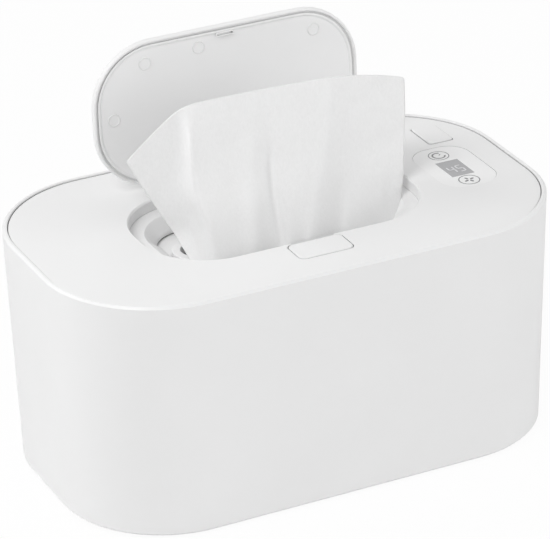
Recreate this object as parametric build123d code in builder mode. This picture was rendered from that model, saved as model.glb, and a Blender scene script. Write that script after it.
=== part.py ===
"""Baby wipe warmer: a drafted tub-shaped housing, a lift-off cover and a sprung lid.

Millimetres, +Z up. The origin is on the table, under the middle of the housing.
The front is towards -Y, the control panel is at +X and the lid's hinge is at +Y.
The rest pose has the lid open and a wipe standing in the slot.
"""

import os
from math import atan2, cos, degrees, hypot, pi, radians, sin, tan

from build123d import *

os.makedirs("parts", exist_ok=True)

# ---------------------------------------------------------------- driving dimensions
# Housing
body_length = 240.0
body_width = 144.6
body_height = 113.0
corner_radius = 53.8
draft_angle = 1.6
shell_wall = 2.3
rim_outer_bevel = 1.1
rim_inner_bevel = 0.3
shell_foot_bevel = 1.0
foot_stand = 1.2

# Base plate, feet and screws
base_recess = 0.5
base_plate_thickness = 2.4
base_stop_reach = 2.0
base_stop_thickness = 1.8
foot_diameter = 14.0
foot_spread_x = 0.625 * body_length
foot_spread_y = 0.58 * body_width
base_screw_spread_x = 0.667 * body_length
base_screw_spread_y = 0.456 * body_width
base_screw_diameter = 2.8
base_screw_head = 5.6
base_screw_head_height = 1.2
base_screw_grip = 8.0
base_post_diameter = 8.0

# Inner liner, the tub that holds the wipes
liner_wall = 2.0
liner_draft = 1.0
tub_length = body_length - 32.0
tub_width = body_width - 31.6
tub_corner = corner_radius - 10.8
tub_floor_height = 24.0
flange_thickness = 2.0
flange_depth = 17.2
shell_ledge_reach = 4.0
shell_ledge_thickness = 2.5

# Heater round the tub
film_thickness = 0.5
film_low = 34.0
film_high = 80.0
sleeve_thickness = 4.0
sleeve_overlap = 4.0
sensor_size = (9.0, 5.0, 3.0)
cutout_diameter = 14.0
cutout_thickness = 5.0
sensor_spacing = 30.0

# Main board and power inlet
board_length = 70.0
board_width = 44.0
board_thickness = 1.6
board_x = 0.125 * body_length
board_y = 0.235 * body_width
standoff_height = 6.0
standoff_width = 4.4
standoff_inset = 4.0
inlet_body = (12.0, 14.0, 9.0)
inlet_nose_diameter = 8.0
inlet_bore_diameter = 5.5
inlet_pin_diameter = 2.0
inlet_recess = 0.4

# Wipes
stack_length = 0.7 * body_length
stack_width = 0.622 * body_width
stack_height = 58.0
stack_corner = 10.0
wipe_thickness = 2.0
wipe_slot_share = 0.89
wipe_bulge = 16.0
wipe_lean = 4.0
wipe_bend = 2.5
wipe_top = 171.0
wipe_left_corner = (-70.0, 151.0)
wipe_left_shoulder = (-46.0, 169.5)
wipe_right_shoulder = (41.0, 167.8)
wipe_right_corner = (64.5, 162.0)
wipe_right_side = (63.0, 124.0)
wipe_right_foot = (51.0, 105.0)

# Cover
rim_proud = 0.8
cover_plate = 2.4
seam_gap = 0.25
skirt_wall = 2.0
cover_edge_bevel = 0.3
well_x = -1.0
well_y = -0.8
opening_length = 0.5525 * body_length
opening_width = 0.498 * body_width
opening_radius = 0.4306 * opening_width
opening_depth = 5.5
opening_bevel = 1.6
well_wall = 2.0
ledge_width = 7.6
ledge_thickness = 2.0
ledge_bevel = 0.8
bowl_depth = 13.5
bowl_slope = 2.0
bowl_wall = 1.6
base_cover_thickness = 2.0
cover_screw_diameter = 2.4
cover_screw_head = 4.6
cover_screw_head_height = 1.1
cover_screw_grip = 7.0
cover_boss_diameter = 6.0
cover_screw_inset_x = 34.0
cover_screw_inset_y = 36.3
cover_screw_edge = 19.3
seal_width = 2.4
seal_inset = 1.4

# Dispensing gate: a soft ring clipped in the bowl's floor
gate_slot_length = 0.694 * opening_length
gate_slot_width = 14.0
gate_wall = 1.5
gate_flange = 2.5
gate_rise = 2.5
gate_bead = 1.0

# Lid
lid_gap = 0.7
lid_rear_gap = 1.4
lid_height = 3.6
lid_skin_thickness = 1.2
lid_band = 2.4
lid_inner_thickness = 0.8
lid_inner_border = 0.9
lid_inner_border_rise = 0.4
lid_inner_gap = 0.15
lid_edge_bevel = 0.8
lid_open_angle = 91.6
hinge_setback = 6.3
hinge_drop = 6.0
knuckle_radius = 3.2
knuckle_spacing = 52.0
knuckle_width = 11.4
knuckle_gap = 5.0
knuckle_clearance = 0.3
trough_clearance = 0.5
trough_wall = 2.0
pin_wall = 4.0
pin_diameter = 2.5
pin_clearance = 0.05
hinge_spring_wall = 0.6
hinge_spring_radius = 2.1
tongue_width = 8.0
tongue_thickness = 1.2
tongue_length = 3.8
tongue_inset = 4.2
barb_reach = 0.8
barb_height = 0.6
mark_diameter = 5.6
mark_depth = 0.2
mark_shares = [(-0.425, 0.5), (-0.3, 0.157), (-0.098, 0.123), (0.339, 0.162)]

# Push keys and the sliders under them
key_gap = 0.3
key_height = 3.4
key_top = 1.4
key_travel = 2.0
key_guide_wall = 1.2
key_guide_depth = 2.6
key_bevel = 0.4
lid_key_length = 26.4
lid_key_width = 15.4
lid_key_radius = 3.0
lid_key_setback = 9.6
cover_key_length = 12.4
cover_key_width = 19.4
cover_key_radius = 1.4
cover_key_inset_x = 22.3
cover_key_inset_y = 37.0
cover_key_proud = 0.3
slider_plate = 2.0
slider_gap = 0.2
slider_rear = 7.6
ramp_top = 2.5
ramp_height = 4.2
cam_width = 6.0
cam_reach = 2.0
lid_slider_width = 16.0
lid_nose_width = 9.0
lid_nose_thickness = 1.0
lid_nose_drop = 0.5
latch_pocket = 0.8
nose_gap = 0.25
cover_slider_width = 9.0
cover_nose_width = 8.0
catch_pocket = 1.2
rail_width = 2.5
rail_lip = 1.0
spring_room = 0.0443 * body_width
spring_leaf = 0.4
spring_fold = 2.4
spring_width = 4.0
spring_folds = 3

# Control panel
panel_inset_x = 30.0
panel_y = -0.8
panel_length = 28.0
panel_width = 45.0
panel_corner = 11.0
panel_thickness = 0.4
panel_gap = 0.1
display_length = 11.3
display_width = 16.8
display_offset_y = -1.7
touch_spots = [(-0.7, 13.8), (-1.0, -15.9)]
touch_pad_diameter = 9.0
panel_board_drop = 3.0
panel_board_thickness = 1.2
panel_board_inset = 1.0
panel_peg_width = 2.0
panel_peg_spots = [(-10, 12), (10, -12)]

# Contacts that carry power into the cover
contact_inset_x = 10.6
contact_length = 4.2
contact_width = 18.0
contact_block_depth = 6.0
contact_pin_width = 1.2
contact_pin_pitch = 4.0
contact_carrier_height = 5.0

# Clearances
fit_gap = 0.1
free_gap = 0.2
soft_gap = 0.3

# ---------------------------------------------------------------- levels and outlines
shell_bottom = foot_stand
rim_top = shell_bottom + body_height
cover_top = rim_top - rim_proud
cover_under = cover_top - cover_plate
ledge_top = cover_top - opening_depth
ledge_under = ledge_top - ledge_thickness
bowl_floor = cover_top - bowl_depth
cover_base_under = bowl_floor - base_cover_thickness
flange_top = cover_top - flange_depth
flange_under = flange_top - flange_thickness
cover_foot = flange_top + free_gap
base_under = shell_bottom + base_recess
base_top = base_under + base_plate_thickness
tub_floor = tub_floor_height + liner_wall
stack_top = tub_floor + soft_gap + stack_height
board_under = base_top + standoff_height
board_top = board_under + board_thickness

inner_length = body_length - 2 * shell_wall
inner_width = body_width - 2 * shell_wall
inner_radius = corner_radius - shell_wall
bowl_length = opening_length - 2 * ledge_width
bowl_width = opening_width - 2 * ledge_width
bowl_radius = opening_radius - ledge_width
lid_length = opening_length - 2 * lid_gap
lid_width = opening_width - lid_gap - lid_rear_gap
lid_radius = opening_radius - lid_gap
hinge_z = cover_top - hinge_drop
well_front = well_y - opening_width / 2
well_back = well_y + opening_width / 2
wipe_slot_length = wipe_slot_share * gate_slot_length
hinge_y = well_back + hinge_setback
lid_key_y = well_front - lid_key_setback
cover_key_x = body_length / 2 - cover_key_inset_x
cover_key_y = body_width / 2 - cover_key_inset_y
panel_x = body_length / 2 - panel_inset_x
contact_x = body_length / 2 - contact_inset_x
screw_x = body_length / 2 - cover_screw_inset_x
screw_y = body_width / 2 - cover_screw_inset_y
cover_screw_spots = [
    (-screw_x, screw_y),
    (-screw_x, -screw_y),
    (opening_length * 0.4375, body_width / 2 - cover_screw_edge),
    (screw_x, -screw_y - 6),
]


def shell_outside(level, gap=0):
    """Length, width and corner radius of the shell's outside at a level, less a gap all round."""
    inset = gap + (rim_top - level) * tan(radians(draft_angle))
    return body_length - 2 * inset, body_width - 2 * inset, corner_radius - inset


def shell_inside(level, gap):
    """Length, width and corner radius of the shell's inside at a level, less a gap all round."""
    inset = gap + (rim_top - level) * tan(radians(draft_angle))
    return inner_length - 2 * inset, inner_width - 2 * inset, inner_radius - inset


def tub_outside(level, gap):
    """Length, width and corner radius of the tub's outside at a level, plus a gap all round."""
    inset = (flange_top - level) * tan(radians(liner_draft)) - gap
    return tub_length - 2 * inset, tub_width - 2 * inset, tub_corner - inset


def drafted(frame, high, high_size, low, low_size):
    """A block between two rounded rectangles, each a length, a width and a corner radius."""
    with BuildPart() as block:
        with BuildSketch(frame.offset(high)):
            RectangleRounded(*high_size)
        with BuildSketch(frame.offset(low)):
            RectangleRounded(*low_size)
        loft(ruled=True)
    return block.part


def tub_ring(low, high, gap, thickness):
    """A drafted band round the tub between two levels, standing off its outside by a gap."""
    outer = gap + thickness
    with BuildPart() as ring:
        add(drafted(Plane.XY, high, tub_outside(high, outer), low, tub_outside(low, outer)))
        add(
            drafted(Plane.XY, high, tub_outside(high, gap), low, tub_outside(low, gap)),
            mode=Mode.SUBTRACT,
        )
    return ring.part


def folded_spring(frame, start, length, level):
    """A leaf spring folded to and fro, that runs from `start` along the frame's x direction."""
    side_plane = Plane(origin=frame.origin, x_dir=frame.x_dir, z_dir=-frame.y_dir)
    step = length / (2 * spring_folds)
    lower = [(start + i * step, level + (i % 2) * spring_fold) for i in range(2 * spring_folds + 1)]
    upper = [(along, high + spring_leaf) for along, high in reversed(lower)]
    with BuildPart() as leaf:
        with BuildSketch(side_plane):
            with BuildLine():
                Polyline(*lower, *upper, close=True)
            make_face()
        extrude(amount=spring_width / 2, both=True)
    return leaf.part


# ---------------------------------------------------------------- base: shell and plate
with BuildPart() as outer_shell:
    rim_side = rim_top - rim_outer_bevel
    foot_side = shell_bottom + shell_foot_bevel
    add(drafted(Plane.XY, rim_top, shell_outside(rim_top, rim_outer_bevel), rim_side, shell_outside(rim_side)))
    add(drafted(Plane.XY, rim_side, shell_outside(rim_side), foot_side, shell_outside(foot_side)))
    foot_outline = shell_outside(shell_bottom, shell_foot_bevel)
    add(drafted(Plane.XY, foot_side, shell_outside(foot_side), shell_bottom, foot_outline))
    add(
        drafted(Plane.XY, rim_top, shell_inside(rim_top, 0), shell_bottom, shell_inside(shell_bottom, 0)),
        mode=Mode.SUBTRACT,
    )
    rim_mouth = shell_inside(rim_top, -rim_inner_bevel)
    mouth_foot = rim_top - rim_inner_bevel
    add(drafted(Plane.XY, rim_top, rim_mouth, mouth_foot, shell_inside(mouth_foot, 0)), mode=Mode.SUBTRACT)
    # the ledge that carries the liner, and the stop that the base plate is screwed up against
    with BuildSketch(Plane.XY.offset(flange_under)):
        RectangleRounded(*shell_inside(flange_under, -shell_wall / 2))
        RectangleRounded(*shell_inside(flange_under, shell_ledge_reach), mode=Mode.SUBTRACT)
    extrude(amount=-shell_ledge_thickness)
    with BuildSketch(Plane.XY.offset(base_top)):
        RectangleRounded(*shell_inside(base_top, -shell_wall / 2))
        RectangleRounded(*shell_inside(base_top, base_stop_reach), mode=Mode.SUBTRACT)
    extrude(amount=base_stop_thickness)
    # hole for the power inlet, and the blind pocket that the cover catch enters
    inlet_z = board_top + inlet_body[2] / 2
    with BuildSketch(Plane.XZ.offset(-body_width / 2)):
        with Locations((board_x, inlet_z)):
            Circle(inlet_nose_diameter / 2 + soft_gap)
    extrude(amount=shell_wall * 2 + base_stop_reach, mode=Mode.SUBTRACT)
    corner_x = body_length / 2 - corner_radius
    corner_y = body_width / 2 - corner_radius
    catch_angle = degrees(atan2(cover_key_y - corner_y, cover_key_x - corner_x))
    catch_frame = Plane(
        origin=(corner_x, corner_y, 0),
        x_dir=(cos(radians(catch_angle)), sin(radians(catch_angle)), 0),
        z_dir=(0, 0, 1),
    )
    slider_low = bowl_floor + slider_gap
    slider_high = slider_low + slider_plate
    catch_wall = shell_inside(slider_low, 0)[2]
    with BuildSketch(catch_frame.offset(slider_low - free_gap)):
        with Locations((catch_wall, 0)):
            Rectangle(2 * catch_pocket, cover_nose_width + 4 * free_gap)
    extrude(amount=slider_plate + 2 * free_gap, mode=Mode.SUBTRACT)

foot_grid = GridLocations(foot_spread_x, foot_spread_y, 2, 2)
base_screw_grid = GridLocations(base_screw_spread_x, base_screw_spread_y, 2, 2)
standoff_grid = GridLocations(board_length - 2 * standoff_inset, board_width - 2 * standoff_inset, 2, 2)

with BuildPart() as base_plate:
    with BuildSketch(Plane.XY.offset(base_under)):
        RectangleRounded(*shell_inside(shell_bottom, free_gap))
    extrude(amount=base_plate_thickness)
    with BuildSketch(Plane.XY.offset(base_top)):
        with Locations((board_x, board_y)):
            with standoff_grid:
                Rectangle(standoff_width, standoff_width)
    extrude(amount=standoff_height)
    with BuildSketch(Plane.XY.offset(base_under)):
        with base_screw_grid:
            Circle(base_screw_diameter / 2 + free_gap)
    extrude(amount=base_plate_thickness, mode=Mode.SUBTRACT)

with BuildPart() as rubber_feet:
    with BuildSketch(Plane.XY):
        with foot_grid:
            Circle(foot_diameter / 2)
    extrude(amount=base_under)

with BuildPart() as base_screws:
    with BuildSketch(Plane.XY.offset(base_under)):
        with base_screw_grid:
            Circle(base_screw_head / 2)
    extrude(amount=-base_screw_head_height)
    with BuildSketch(Plane.XY.offset(base_under)):
        with base_screw_grid:
            Circle(base_screw_diameter / 2)
    extrude(amount=base_plate_thickness + base_screw_grip)

# ---------------------------------------------------------------- base: liner and heater
with BuildPart() as inner_liner:
    tub_foot = tub_outside(tub_floor_height, 0)
    add(drafted(Plane.XY, flange_top, tub_outside(flange_top, 0), tub_floor_height, tub_foot))
    with BuildSketch(Plane.XY.offset(flange_under)):
        RectangleRounded(*shell_inside(flange_under, free_gap))
    extrude(amount=flange_thickness)
    space_top = tub_outside(flange_top, -liner_wall)
    space_floor = tub_outside(tub_floor, -liner_wall)
    add(drafted(Plane.XY, flange_top, space_top, tub_floor, space_floor), mode=Mode.SUBTRACT)
    # posts that the base screws pull down on
    with BuildSketch(Plane.XY.offset(base_top)):
        with base_screw_grid:
            Circle(base_post_diameter / 2)
    extrude(amount=tub_floor_height + liner_wall / 2 - base_top)
    with BuildSketch(Plane.XY.offset(base_top)):
        with base_screw_grid:
            Circle(base_screw_diameter / 2 + pin_clearance)
    extrude(amount=base_screw_grip + 1, mode=Mode.SUBTRACT)
    # seat of the contact block in the flange
    with BuildSketch(Plane.XY.offset(flange_under)):
        with Locations((contact_x, 0)):
            Rectangle(contact_length + 2 * fit_gap, contact_width + 2 * fit_gap)
    extrude(amount=flange_thickness, mode=Mode.SUBTRACT)

with BuildPart() as heating_film:
    add(tub_ring(film_low, film_high, fit_gap, film_thickness))

with BuildPart() as insulation_sleeve:
    sleeve_gap = 2 * fit_gap + film_thickness
    add(tub_ring(film_low - sleeve_overlap, film_high + sleeve_overlap, sleeve_gap, sleeve_thickness))

with BuildPart() as temperature_sensor:
    with BuildSketch(Plane.XY.offset(tub_floor_height)):
        with Locations((-sensor_spacing / 2, 0)):
            RectangleRounded(sensor_size[0], sensor_size[1], 1)
    extrude(amount=-sensor_size[2])

with BuildPart() as thermal_cutout:
    with BuildSketch(Plane.XY.offset(tub_floor_height)):
        with Locations((-sensor_spacing * 1.5, 0)):
            Rectangle(cutout_diameter + 10, 3)
    extrude(amount=-1)
    with BuildSketch(Plane.XY.offset(tub_floor_height)):
        with Locations((-sensor_spacing * 1.5, 0)):
            Circle(cutout_diameter / 2)
    extrude(amount=-cutout_thickness)

# ---------------------------------------------------------------- base: electrics
part_x = 0.3 * board_length
part_y = 0.23 * board_width
part_height = 6 * board_thickness
with BuildPart() as main_board:
    with BuildSketch(Plane.XY.offset(board_under)):
        with Locations((board_x, board_y)):
            Rectangle(board_length, board_width)
    extrude(amount=board_thickness)
    with BuildSketch(Plane.XY.offset(board_top)):
        with Locations((board_x - part_x, board_y - part_y)):
            Rectangle(0.26 * board_length, 0.32 * board_width)
        with Locations((board_x + part_x, board_y - part_y)):
            Rectangle(0.17 * board_length, 0.27 * board_width)
    extrude(amount=part_height)
    with BuildSketch(Plane.XY.offset(board_top)):
        with Locations((board_x - part_x, board_y + part_y), (board_x + part_x, board_y + part_y)):
            Circle(0.09 * board_width)
    extrude(amount=part_height)

inlet_back = body_width / 2 - (rim_top - inlet_z) * tan(radians(draft_angle)) - inlet_recess
inlet_front = board_y + board_width / 2 - inlet_body[1] + 3
with BuildPart() as power_inlet:
    with BuildSketch(Plane.XY.offset(board_top)):
        with Locations((board_x, inlet_front + inlet_body[1] / 2)):
            Rectangle(inlet_body[0], inlet_body[1])
    extrude(amount=inlet_body[2])
    with BuildSketch(Plane.XZ.offset(-inlet_front)):
        with Locations((board_x, inlet_z)):
            Circle(inlet_nose_diameter / 2)
    extrude(amount=inlet_front - inlet_back)
    with BuildSketch(Plane.XZ.offset(-inlet_back)):
        with Locations((board_x, inlet_z)):
            Circle(inlet_bore_diameter / 2)
            Circle(inlet_pin_diameter / 2, mode=Mode.SUBTRACT)
    extrude(amount=inlet_body[1] - 4, mode=Mode.SUBTRACT)

with BuildPart() as contact_block:
    with BuildSketch(Plane.XY.offset(flange_top)):
        with Locations((contact_x, 0)):
            Rectangle(contact_length, contact_width)
    extrude(amount=-contact_block_depth)

# ---------------------------------------------------------------- base: wipes
with BuildPart() as wipe_stack:
    with BuildSketch(Plane.XY.offset(tub_floor + soft_gap)):
        RectangleRounded(stack_length, stack_width, stack_corner)
    extrude(amount=stack_height)

# ---------------------------------------------------------------- cover: the moulded top
lid_free_edge = well_front + lid_gap
tongue_face = lid_free_edge + tongue_inset - tongue_thickness / 2
nose_tip = tongue_face - barb_reach - nose_gap
nose_top = cover_top - lid_height - lid_nose_drop
nose_under = nose_top - lid_nose_thickness
trough_half = knuckle_width / 2 + knuckle_clearance
trough_back = hinge_y + hinge_drop + trough_clearance
trough_floor = hinge_z - knuckle_radius - trough_clearance
knuckle_spots = [well_x - knuckle_spacing / 2, well_x + knuckle_spacing / 2]
panel_pocket = panel_thickness + panel_gap
panel_board_top = cover_under - panel_board_drop
skirt_gap = seam_gap + skirt_wall
well_plane = Plane(origin=(well_x, well_y, 0))


def bowl_outline(depth_share, gap):
    """Length, width and corner radius of the bowl, from its edge (0) to its floor (1), plus a gap."""
    inset = depth_share * bowl_slope - gap
    return bowl_length - 2 * inset, bowl_width - 2 * inset, bowl_radius - inset


with BuildPart() as top_cover:
    skirt_foot = shell_inside(cover_foot, seam_gap)
    room_foot = shell_inside(cover_foot, skirt_gap)
    bevel_foot = cover_top - cover_edge_bevel
    skirt_top = shell_inside(bevel_foot, seam_gap)
    add(drafted(Plane.XY, bevel_foot, skirt_top, cover_foot, skirt_foot))
    bevel_in = shell_inside(cover_top, seam_gap + cover_edge_bevel)
    add(drafted(Plane.XY, cover_top, bevel_in, bevel_foot, skirt_top))
    add(
        drafted(Plane.XY, cover_under, shell_inside(cover_under, skirt_gap), cover_foot, room_foot),
        mode=Mode.SUBTRACT,
    )
    # the lid's well: wall, ledge and the bowl below it
    with BuildSketch(well_plane.offset(cover_under)):
        RectangleRounded(
            opening_length + 2 * well_wall, opening_width + 2 * well_wall, opening_radius + well_wall
        )
    extrude(amount=ledge_under - cover_under)
    add(drafted(well_plane, ledge_under, bowl_outline(0, bowl_wall), bowl_floor, bowl_outline(1, bowl_wall)))
    with BuildSketch(well_plane.offset(cover_top)):
        RectangleRounded(opening_length, opening_width, opening_radius)
    extrude(amount=ledge_top - cover_top, mode=Mode.SUBTRACT)
    mouth = (opening_length, opening_width, opening_radius)
    wide_mouth = (mouth[0] + 2 * opening_bevel, mouth[1] + 2 * opening_bevel, mouth[2] + opening_bevel)
    add(drafted(well_plane, cover_top, wide_mouth, cover_top - opening_bevel, mouth), mode=Mode.SUBTRACT)
    add(
        drafted(well_plane, ledge_top, bowl_outline(0, 0), bowl_floor, bowl_outline(1, 0)),
        mode=Mode.SUBTRACT,
    )
    bowl_mouth = bowl_outline(0, ledge_bevel)
    mouth_depth = ledge_bevel / (ledge_top - bowl_floor)
    mouth_foot = ledge_top - ledge_bevel
    add(
        drafted(well_plane, ledge_top, bowl_mouth, mouth_foot, bowl_outline(mouth_depth, 0)),
        mode=Mode.SUBTRACT,
    )
    # troughs for the lid's knuckles
    for knuckle_x in knuckle_spots:
        with BuildSketch(Plane.XY.offset(trough_floor - trough_wall)):
            with Locations((knuckle_x, well_back + 1)):
                Rectangle(
                    2 * (trough_half + pin_wall),
                    trough_back + trough_wall - well_back - 1,
                    align=(Align.CENTER, Align.MIN),
                )
        extrude(amount=cover_under - trough_floor + trough_wall)
    for knuckle_x in knuckle_spots:
        with BuildSketch(Plane.XY.offset(trough_floor)):
            with Locations((knuckle_x, well_back - 1)):
                Rectangle(2 * trough_half, trough_back - well_back + 1, align=(Align.CENTER, Align.MIN))
        extrude(amount=cover_top - trough_floor, mode=Mode.SUBTRACT)
        with BuildSketch(Plane.YZ.offset(knuckle_x)):
            with Locations((hinge_y, hinge_z)):
                Circle(pin_diameter / 2 + pin_clearance)
        extrude(amount=trough_half + pin_wall, both=True, mode=Mode.SUBTRACT)
    # guides and holes of the two keys
    with BuildSketch(Plane.XY.offset(cover_under)):
        with Locations((well_x, lid_key_y)):
            RectangleRounded(
                lid_key_length + 2 * (key_gap + key_guide_wall),
                lid_key_width + 2 * (key_gap + key_guide_wall),
                lid_key_radius + key_gap + key_guide_wall,
            )
        with Locations((cover_key_x, cover_key_y)):
            RectangleRounded(
                cover_key_length + 2 * (key_gap + key_guide_wall),
                cover_key_width + 2 * (key_gap + key_guide_wall),
                cover_key_radius + key_gap + key_guide_wall,
            )
    extrude(amount=-key_guide_depth)
    with BuildSketch(Plane.XY.offset(cover_top)):
        with Locations((well_x, lid_key_y)):
            RectangleRounded(
                lid_key_length + 2 * key_gap, lid_key_width + 2 * key_gap, lid_key_radius + key_gap
            )
        with Locations((cover_key_x, cover_key_y)):
            RectangleRounded(
                cover_key_length + 2 * key_gap, cover_key_width + 2 * key_gap, cover_key_radius + key_gap
            )
    extrude(amount=-key_height - key_travel - free_gap, mode=Mode.SUBTRACT)
    # way in for the lid latch through the well's wall, and the pocket for the lid's tongue
    latch_way = tongue_face + tongue_thickness + 2 * free_gap - well_front
    with BuildSketch(Plane.XY.offset(ledge_top - latch_pocket)):
        with Locations((well_x, well_front)):
            Rectangle(lid_nose_width + 4 * free_gap, latch_way, align=(Align.CENTER, Align.MIN))
    extrude(amount=latch_pocket, mode=Mode.SUBTRACT)
    with BuildSketch(Plane.XY.offset(ledge_top - latch_pocket)):
        with Locations((well_x, well_front)):
            Rectangle(lid_nose_width + 4 * free_gap, 2 * well_wall + 1)
    extrude(amount=nose_top + free_gap - ledge_top + latch_pocket, mode=Mode.SUBTRACT)
    # way out for the cover catch, through the skirt
    with BuildSketch(catch_frame.offset(slider_low - free_gap)):
        with Locations((catch_wall - skirt_gap, 0)):
            Rectangle(4 * skirt_wall, cover_nose_width + 4 * free_gap)
    extrude(amount=slider_plate + 2 * free_gap, mode=Mode.SUBTRACT)
    # bosses for the cover screws
    with BuildSketch(Plane.XY.offset(bowl_floor)):
        with Locations(*cover_screw_spots):
            Circle(cover_boss_diameter / 2)
    extrude(amount=cover_under - bowl_floor)
    with BuildSketch(Plane.XY.offset(bowl_floor)):
        with Locations(*cover_screw_spots):
            Circle(cover_screw_diameter / 2 + pin_clearance)
    extrude(amount=cover_screw_grip, mode=Mode.SUBTRACT)
    # pocket for the panel overlay, the display's window and the pegs that carry its board
    with BuildSketch(Plane.XY.offset(cover_top)):
        with Locations((panel_x, panel_y)):
            RectangleRounded(panel_length, panel_width, panel_corner)
    extrude(amount=-panel_pocket, mode=Mode.SUBTRACT)
    with BuildSketch(Plane.XY.offset(cover_top)):
        with Locations((panel_x, panel_y + display_offset_y)):
            Rectangle(display_length + 2 * free_gap, display_width + 2 * free_gap)
    extrude(amount=-cover_plate, mode=Mode.SUBTRACT)
    with BuildSketch(Plane.XY.offset(cover_under)):
        with Locations((panel_x, panel_y)):
            with Locations(*panel_peg_spots):
                Rectangle(2 * panel_peg_width, 2 * panel_peg_width)
    extrude(amount=-panel_board_drop)
    with BuildSketch(Plane.XY.offset(panel_board_top)):
        with Locations((panel_x, panel_y)):
            with Locations(*panel_peg_spots):
                Rectangle(panel_peg_width, panel_peg_width)
    extrude(amount=-panel_board_thickness - fit_gap)

# ---------------------------------------------------------------- cover: what closes it below
lid_slider_rear = lid_key_y - slider_rear
key_radius_out = hypot(cover_key_x - corner_x, cover_key_y - corner_y)
cover_slider_rear = key_radius_out - slider_rear
slider_stop = spring_room + key_travel / 2
lid_latch_frame = Plane(origin=(well_x, 0, 0), x_dir=(0, 1, 0), z_dir=(0, 0, 1))


def slider_track(frame, width, rear, front):
    """Two lipped rails and the spring's stop, on the plate under a slider."""
    rail_high = slider_high + free_gap
    with BuildPart() as track:
        for side in (-1, 1):
            with BuildSketch(frame.offset(bowl_floor)):
                with Locations(((rear + front) / 2, side * (width / 2 + free_gap + rail_width / 2))):
                    Rectangle(front - rear, rail_width)
            extrude(amount=rail_high + rail_lip - bowl_floor)
            with BuildSketch(frame.offset(rail_high)):
                with Locations(((rear + front) / 2, side * (width / 2 + free_gap))):
                    Rectangle(front - rear, 2 * rail_lip)
            extrude(amount=rail_lip)
        with BuildSketch(frame.offset(bowl_floor)):
            with Locations((rear - slider_stop, 0)):
                Rectangle(rail_width, width, align=(Align.MAX, Align.CENTER))
        extrude(amount=2 * slider_plate + 1)
    return track.part


with BuildPart() as cover_base:
    with BuildSketch(Plane.XY.offset(cover_base_under)):
        RectangleRounded(*shell_inside(cover_base_under, skirt_gap + free_gap))
    extrude(amount=base_cover_thickness)
    with BuildSketch(well_plane.offset(bowl_floor)):
        SlotOverall(gate_slot_length + 2 * (gate_wall + fit_gap), gate_slot_width + 2 * (gate_wall + fit_gap))
    extrude(amount=-base_cover_thickness, mode=Mode.SUBTRACT)
    add(slider_track(lid_latch_frame, lid_slider_width, lid_slider_rear, lid_key_y - 1))
    add(slider_track(catch_frame, cover_slider_width, cover_slider_rear, key_radius_out - 1))
    with BuildSketch(Plane.XY.offset(bowl_floor)):
        with Locations((contact_x, 0)):
            Rectangle(contact_length + 2 * fit_gap, contact_width + 2 * fit_gap)
    extrude(amount=-base_cover_thickness, mode=Mode.SUBTRACT)
    with BuildSketch(Plane.XY.offset(cover_base_under)):
        with Locations(*cover_screw_spots):
            Circle(cover_screw_diameter / 2 + free_gap)
    extrude(amount=base_cover_thickness, mode=Mode.SUBTRACT)

with BuildPart() as cover_screws:
    with BuildSketch(Plane.XY.offset(cover_base_under)):
        with Locations(*cover_screw_spots):
            Circle(cover_screw_head / 2)
    extrude(amount=-cover_screw_head_height)
    with BuildSketch(Plane.XY.offset(cover_base_under)):
        with Locations(*cover_screw_spots):
            Circle(cover_screw_diameter / 2)
    extrude(amount=base_cover_thickness + cover_screw_grip - 1)

seal_high = cover_base_under - flange_top - fit_gap
with BuildPart() as cover_seal:
    with BuildSketch(Plane.XY.offset(cover_base_under)):
        RectangleRounded(*tub_outside(flange_top, seal_inset + seal_width - liner_wall))
        RectangleRounded(*tub_outside(flange_top, seal_inset - liner_wall), mode=Mode.SUBTRACT)
    extrude(amount=-seal_high)

with BuildPart() as slot_gate:
    with BuildSketch(well_plane.offset(bowl_floor)):
        SlotOverall(gate_slot_length + 2 * (gate_wall + gate_flange), gate_slot_width + 2 * (gate_wall + gate_flange))
    extrude(amount=gate_rise)
    with BuildSketch(well_plane.offset(bowl_floor)):
        SlotOverall(gate_slot_length + 2 * gate_wall, gate_slot_width + 2 * gate_wall)
    extrude(amount=-base_cover_thickness)
    with BuildSketch(well_plane.offset(cover_base_under)):
        SlotOverall(gate_slot_length + 4 * gate_wall, gate_slot_width + 4 * gate_wall)
    extrude(amount=-gate_bead)
    with BuildSketch(well_plane.offset(bowl_floor + gate_rise)):
        SlotOverall(gate_slot_length, gate_slot_width)
    extrude(amount=-gate_rise - base_cover_thickness - gate_bead, mode=Mode.SUBTRACT)

# ---------------------------------------------------------------- cover: panel and contacts
with BuildPart() as control_panel:
    with BuildSketch(Plane.XY.offset(cover_top - panel_gap)):
        with Locations((panel_x, panel_y)):
            RectangleRounded(panel_length - 2 * panel_gap, panel_width - 2 * panel_gap, panel_corner - panel_gap)
    extrude(amount=-panel_thickness)

with BuildPart() as display_board:
    with BuildSketch(Plane.XY.offset(panel_board_top)):
        with Locations((panel_x, panel_y)):
            RectangleRounded(
                panel_length - 2 * panel_board_inset,
                panel_width - 2 * panel_board_inset,
                panel_corner - panel_board_inset,
            )
            with Locations(*panel_peg_spots):
                Rectangle(panel_peg_width + 2 * fit_gap, panel_peg_width + 2 * fit_gap, mode=Mode.SUBTRACT)
    extrude(amount=-panel_board_thickness)

with BuildPart() as display_module:
    with BuildSketch(Plane.XY.offset(panel_board_top)):
        with Locations((panel_x, panel_y + display_offset_y)):
            Rectangle(display_length, display_width)
    extrude(amount=cover_top - panel_pocket - panel_board_top)

with BuildPart() as touch_pads:
    with BuildSketch(Plane.XY.offset(panel_board_top)):
        with Locations(*[(panel_x + x, panel_y + y) for x, y in touch_spots]):
            Circle(touch_pad_diameter / 2)
    extrude(amount=panel_board_drop)

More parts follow.
